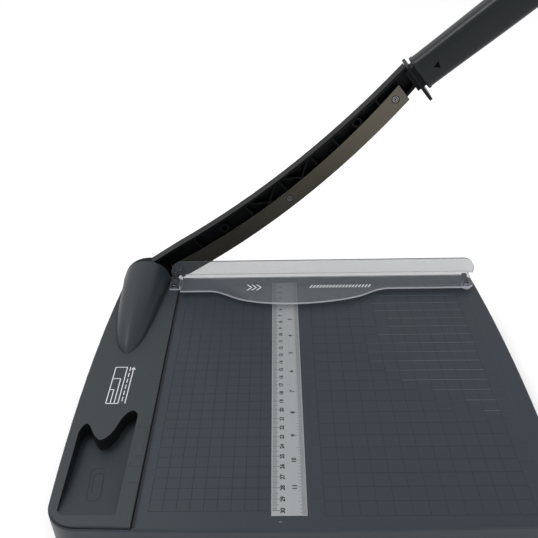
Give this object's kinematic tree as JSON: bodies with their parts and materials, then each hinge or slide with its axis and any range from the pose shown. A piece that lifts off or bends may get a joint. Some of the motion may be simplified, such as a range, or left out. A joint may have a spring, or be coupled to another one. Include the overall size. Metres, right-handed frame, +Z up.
{
  "type": "guillotine paper cutter",
  "caption": "Guillotine paper cutter with a moulded grid table, let-in ruler, clip tray, clear finger guard and a hinged arm with a curved steel blade.",
  "frame": {"origin": "on the surface that the cutter stands on, under the middle of its base, at the middle foot's lower face", "axes": "+X along the cut from the hinge to the handle, +Y from the user to the cutting edge, +Z up"},
  "size_m": [0.4115, 0.346, 0.351],
  "materials": {
    "table_plastic": "fine moulded grain, dark slate grey",
    "panel_plastic": "fine moulded grain, dark slate grey",
    "arm_plastic": "satin black glass-filled plastic",
    "grip_plastic": "satin dark blue-grey plastic",
    "guard_metal": "dark satin paint",
    "blade_steel": "ground steel",
    "edge_steel": "ground steel",
    "ruler_metal": "brushed, with engraved black scales",
    "clear_plastic": "clear, polished",
    "screw_steel": "zinc plated",
    "bracket_steel": "zinc plated",
    "bush_bronze": "sintered bronze",
    "washer_plastic": "black low-friction plastic",
    "foot_rubber": "soft black rubber"
  },
  "bodies": {
    "base": {"base_deck": "table_plastic", "side_panel": "panel_plastic", "hinge_cover": "panel_plastic", "bottom_cover": "table_plastic", "cover_screws": "screw_steel", "ruler": "ruler_metal", "fixed_blade": "edge_steel", "fixed_blade_screws": "screw_steel", "finger_guard": "clear_plastic", "guard_screws": "screw_steel", "hinge_bracket": "bracket_steel", "bracket_screws": "screw_steel", "pivot_bolt": "screw_steel", "pivot_nut": "screw_steel", "nut_washer": "screw_steel", "spring_washer": "screw_steel", "friction_washer": "washer_plastic", "pivot_spring": "screw_steel", "foot_front_left": "foot_rubber", "foot_front_right": "foot_rubber", "foot_far_left": "foot_rubber", "foot_far_right": "foot_rubber", "foot_middle": "foot_rubber"},
    "arm": {"arm_beam": "arm_plastic", "arm_blade": "blade_steel", "blade_screws": "screw_steel", "pivot_bush": "bush_bronze", "hand_guard": "guard_metal", "handle_grip": "grip_plastic"}
  },
  "joints": [
    {"name": "arm_pivot", "type": "hinge", "parent": "base", "child": "arm", "pos_m": [-0.162, 0.165, 0.0335], "axis": [0, -1, 0], "range_deg": [-37.5, 25]}
  ]
}
